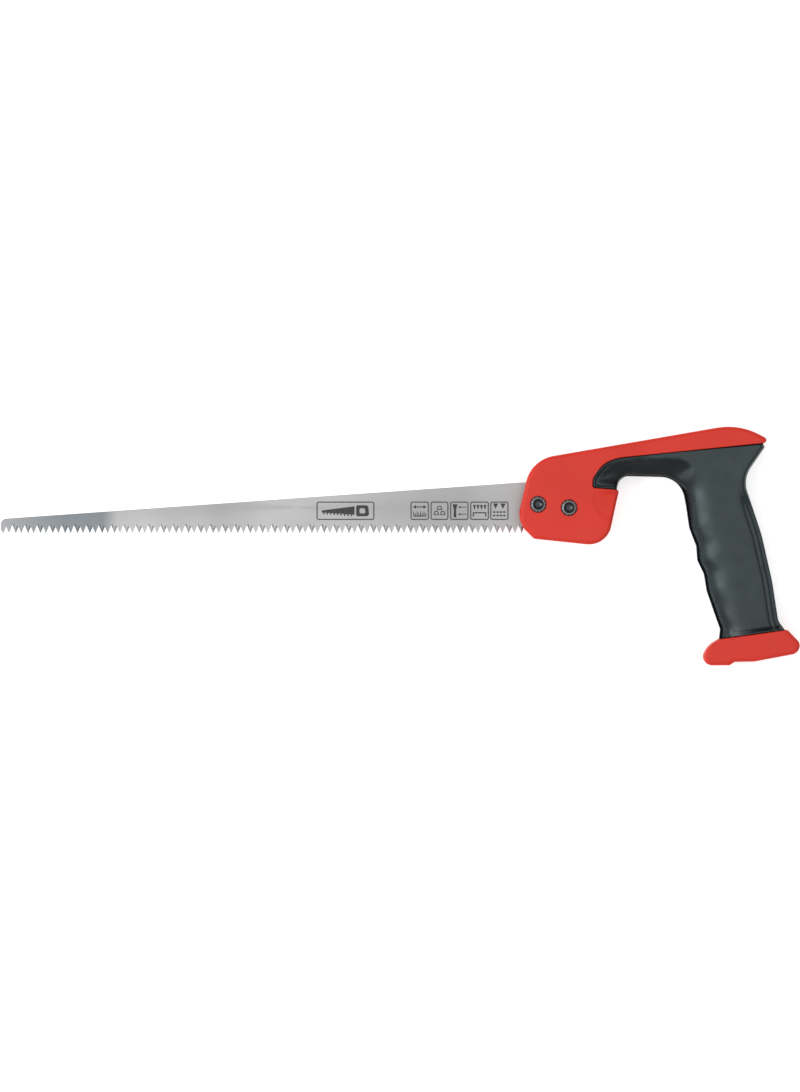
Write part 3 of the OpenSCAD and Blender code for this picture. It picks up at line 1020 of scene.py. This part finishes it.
def set_sign(signs, x0, x1):
    """A tooth seen end on, with two measures beside it."""
    signs.patch([(x0 + 2.0, -3.8), (x0 + 3.7, -3.8), (x0 + 3.5, 0.6), (x0 + 4.3, 3.8),
                 (x0 + 1.4, 3.8), (x0 + 2.2, 0.6)])
    for y in (-2.2, 1.9):
        signs.bar(x0 + 5.4, y, x1 - 1.2, y + 0.45)
        signs.patch([(x0 + 4.6, y + 0.2), (x0 + 6.0, y - 0.5), (x0 + 6.0, y + 0.9)])


def pitch_sign(signs, x0, x1):
    """A row of teeth over a measured length."""
    for k in range(4):
        x = x0 + 1.7 + k * 2.0
        signs.patch([(x, 3.4), (x + 0.85, 0.3), (x + 1.7, 3.4)])
    signs.bar(x0 + 1.5, -1.5, x1 - 1.5, -0.8)
    signs.bar(x0 + 1.5, -3.4, x0 + 2.2, -1.5)
    signs.bar(x1 - 2.2, -3.4, x1 - 1.5, -1.5)


def hardness_sign(signs, x0, x1):
    """Two points pressed into a plate of blocks."""
    for x in (x0 + 3.1, x0 + 7.4):
        signs.patch([(x - 1.5, 4.2), (x, 1.0), (x + 1.5, 4.2)])
    for y in (-1.2, -3.2):
        for k in range(4):
            x = x0 + 1.6 + 1.95 * k
            signs.bar(x, y, x + 1.45, y + 0.9)


def build_markings():
    frames, signs = Marks(), Marks()
    pictures = (saw_sign, length_sign, steel_sign, set_sign, pitch_sign, hardness_sign)
    for (x0, x1), picture in zip((WIDE_FRAME,) + SMALL_FRAMES, pictures):
        frames.frame(x0, x1)
        picture(signs, x0, x1)
    frames.build("marking_frames", LINE_INK)
    signs.build("marking_signs", DARK_INK)


# ---------------- screws, washers and nuts

THREAD_PITCH = 0.8
HEAD_R, HEAD_HEIGHT, SHANK_R = 4.25, 5.0, 2.45
SOCKET_AF, SOCKET_DEPTH = 4.0, 2.6


def screw_rows(tip, top):
    """Radius, z and kind of each ring of a screw, from the tip to the bottom of its socket."""
    base, thread_end = top - HEAD_HEIGHT, -3.0
    rows = [(0, tip, "end"), (1.75, tip, "end")]
    z = tip + 0.35
    while z < thread_end:
        rows.append((SHANK_R, z, "thread"))
        z += THREAD_PITCH / 8
    return rows + [
        (SHANK_R, thread_end + 0.3, "plain"), (SHANK_R, base - 0.3, "plain"),
        (SHANK_R + 0.15, base, "plain"), (HEAD_R - 0.25, base, "plain"),
        (HEAD_R, base + 0.25, "knurl"), (HEAD_R, top - 0.62, "knurl"),
        (HEAD_R - 0.16, top - 0.40, "knurl"), (HEAD_R - 0.55, top - 0.18, "half"),
        (HEAD_R - 0.98, top - 0.03, "plain"), (HEAD_R - 1.15, top, "plain"),
        (2.52, top, "plain"), (2.42, top - 0.04, "plain"),
        (SOCKET_AF, top - 0.28, "hex"), (SOCKET_AF, top - SOCKET_DEPTH, "hex"),
        (0, top - SOCKET_DEPTH - 1.0, "end")]


def cap_screw(name, at, body, node, steel):
    """A knurled socket head on a shank with a real helical thread."""
    tip, top = node_mm(node)
    rows = screw_rows(tip, top)

    def radius_at(row, angle, radius):
        _, z, kind = rows[row + 1]
        if kind == "hex":
            return hex_radius(angle, radius)
        if kind in ("knurl", "half"):
            depth = 0.13 if kind == "knurl" else 0.07
            return radius - depth * (0.5 - 0.5 * math.cos(30 * angle))
        if kind == "thread":
            turn = (z / THREAD_PITCH - angle / (2 * math.pi)) % 1
            run_in = min(1.0, (z - tip) / 0.8)
            return radius - 0.46 * abs(2 * turn - 1) * run_in - 0.35 * (1 - run_in)
        return radius

    vertices, faces = turned_solid([row[:2] for row in rows], 120, radius_at)
    return make(name, moved(vertices, at), faces, steel, body, [node], sharp=38)


def washer_tooth(vertices, faces, rings, span, low, high):
    """One twisted tooth over a span of the washer's ring."""
    ring_low, ring_high, rim = rings
    tips_low, tips_high = [], []
    for k in span:
        twist = 0.16 * (k - span[0]) / (span[-1] - span[0])
        for z, row in ((low + 0.16 - twist, tips_low), (high - twist, tips_high)):
            row.append(len(vertices))
            vertices.append((*rim[k], z))
    for i, (k, j) in enumerate(zip(span, span[1:])):
        faces.append((ring_high[k], tips_high[i], tips_high[i + 1], ring_high[j]))
        faces.append((ring_low[j], tips_low[i + 1], tips_low[i], ring_low[k]))
        faces.append((tips_low[i], tips_low[i + 1], tips_high[i + 1], tips_high[i]))
    first, last = span[0], span[-1]
    faces.append((ring_low[first], tips_low[0], tips_high[0], ring_high[first]))
    faces.append((tips_low[-1], ring_low[last], ring_high[last], tips_high[-1]))


def tooth_washer(name, at, body, node):
    """An external-tooth lock washer: a flat ring with twisted teeth."""
    low, high = node_mm(node)
    bore, ring, outer, teeth = 2.65, 3.75, 4.6, 12
    per = 10                   # steps round the ring for each tooth
    n = teeth * per
    vertices, faces = [], []
    inner_low, inner_high, ring_low, ring_high = (
        add_loop(vertices, circle(radius, n), z) for radius in (bore, ring) for z in (low, high))
    faces += strip(inner_high, inner_low)
    faces += strip(ring_low, inner_low) + strip(inner_high, ring_high)
    rings = (ring_low, ring_high, circle(outer, n))
    for tooth in range(teeth):
        first, last = tooth * per + 1, tooth * per + per - 2
        washer_tooth(vertices, faces, rings, list(range(first, last + 1)), low, high)
        for k in range(last, last + 3):
            i, j = k % n, (k + 1) % n
            faces.append((ring_low[i], ring_low[j], ring_high[j], ring_high[i]))
    return make(name, moved(vertices, at), faces, PLATED, body, [node], sharp=25)


def hexagon_nut(name, at, node):
    """A chamfered hexagon nut round the screw."""
    low, high = node_mm(node)
    across, cone, segments = 8.0, 3.82, 72
    drop = math.tan(math.radians(30))
    angles = [2 * math.pi * k / segments for k in range(segments)]
    vertices, faces, loops = [], [], []
    for radius, z, kind in ((2.55, high - 0.35, "bore"), (2.95, high, "bore"), (cone, high, "bore"),
                            (0, high, "hex"), (0, low, "hex"), (cone, low, "bore"),
                            (2.95, low, "bore"), (2.55, low + 0.35, "bore")):
        loop = []
        for a in angles:
            r = hex_radius(a, across) if kind == "hex" else radius
            fall = max(0.0, r - cone) * drop if kind == "hex" else 0.0
            loop.append(len(vertices))
            height = z - fall if z > (low + high) / 2 else z + fall
            vertices.append((r * math.cos(a), r * math.sin(a), height))
        loops.append(loop)
    for a, b in zip(loops, loops[1:] + loops[:1]):
        faces += strip(b, a)
    return make(name, moved(vertices, at), faces, PLATED, "handle", [node],
                sharp=25)


def build_fasteners():
    for end, at, steel in (("front", FRONT_SCREW, FRONT_BLACK), ("rear", REAR_SCREW, REAR_BLACK)):
        cap_screw(end + "_cap_screw", at, end + "_screw", end + "_screw", steel)
        tooth_washer(end + "_tooth_washer", at, end + "_washer", end + "_washer")
        hexagon_nut(end + "_hexagon_nut", at, end + "_nut")


# ---------------- the studio

PHOTO_LONG_SIDE = 0.6312       # metres that the picture's long side covers at mid-height
LENS = 300.0
SENSOR = 36.0


LAMPS = (("key", (-1.62, 0.16, 1.85), 1.3, 6.5),      # name, place, size, radiance
         ("top", (0.2, -0.1, 2.6), 2.8, 1.25))


def build_camera():
    camera = bpy.data.cameras.new("camera")
    camera.lens = LENS
    camera.sensor_width = SENSOR
    camera.clip_end = 50
    eye = link("camera", camera)
    eye.location = ORIGIN + Vector((-70.23 * MM, -7.11 * MM, PHOTO_LONG_SIDE / SENSOR * LENS))
    bpy.context.scene.camera = eye


def build_floor():
    mesh = bpy.data.meshes.new("floor")
    mesh.from_pydata([(-3, -3, 0), (3, -3, 0), (3, 3, 0), (-3, 3, 0)], [], [(0, 1, 2, 3)])
    floor = link("floor", mesh)
    floor.location.z = cad_low.z - 0.0002
    mesh.materials.append(studio_floor())


def build_lights():
    for name, place, size, radiance in LAMPS:
        light = bpy.data.lights.new(name, "AREA")
        light.size = size
        light.energy = radiance * math.pi * size * size
        lamp = link(name, light)
        lamp.location = place
        lamp.rotation_euler = (-Vector(place)).to_track_quat("-Z", "Y").to_euler()
        lamp.visible_camera = False
    world = bpy.data.worlds.new("studio")
    world.use_nodes = True
    background = world.node_tree.nodes["Background"]
    background.inputs["Color"].default_value = (1, 1, 1, 1)
    background.inputs["Strength"].default_value = 0.36
    bpy.context.scene.world = world
    bpy.context.scene.view_settings.view_transform = "Standard"


build_camera()
build_floor()
build_lights()
build_shells()
build_grip()
build_butt()
build_blade()
build_markings()
build_fasteners()
